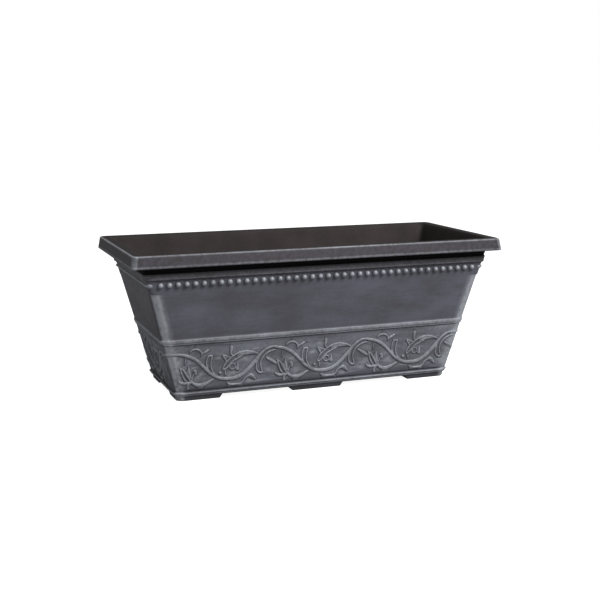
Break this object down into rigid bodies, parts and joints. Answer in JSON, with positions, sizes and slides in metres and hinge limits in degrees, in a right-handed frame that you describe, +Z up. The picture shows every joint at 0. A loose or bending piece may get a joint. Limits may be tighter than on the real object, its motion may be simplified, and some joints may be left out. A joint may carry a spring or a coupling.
{
  "type": "window box planter",
  "caption": "Long rectangular window box planter with flared walls, a turned-down rim, bead row, vine frieze, moulded feet and pull-out drain plugs.",
  "frame": {"origin": "on the ground, under the middle of the box", "axes": "+X along the box, +Y from the front long wall to the back one, +Z up out of the open top"},
  "size_m": [0.61, 0.268, 0.234],
  "materials": {
    "shell_resin": "satin dark pewter with a silver wash rubbed on the raised edges and relief",
    "plug_rubber": "matt black"
  },
  "bodies": {
    "shell": {"planter_shell": "shell_resin"},
    "plug_1": {"drain_plug_1": "plug_rubber"},
    "plug_2": {"drain_plug_2": "plug_rubber"},
    "plug_3": {"drain_plug_3": "plug_rubber"},
    "plug_4": {"drain_plug_4": "plug_rubber"},
    "plug_5": {"drain_plug_5": "plug_rubber"},
    "plug_6": {"drain_plug_6": "plug_rubber"}
  },
  "joints": [
    {"name": "plug_1_pull", "type": "slide", "parent": "shell", "child": "plug_1", "axis": [0, 0, 1], "range_m": [0, 0.03]},
    {"name": "plug_2_pull", "type": "slide", "parent": "shell", "child": "plug_2", "axis": [0, 0, 1], "range_m": [0, 0.03]},
    {"name": "plug_3_pull", "type": "slide", "parent": "shell", "child": "plug_3", "axis": [0, 0, 1], "range_m": [0, 0.03]},
    {"name": "plug_4_pull", "type": "slide", "parent": "shell", "child": "plug_4", "axis": [0, 0, 1], "range_m": [0, 0.03]},
    {"name": "plug_5_pull", "type": "slide", "parent": "shell", "child": "plug_5", "axis": [0, 0, 1], "range_m": [0, 0.03]},
    {"name": "plug_6_pull", "type": "slide", "parent": "shell", "child": "plug_6", "axis": [0, 0, 1], "range_m": [0, 0.03]}
  ]
}
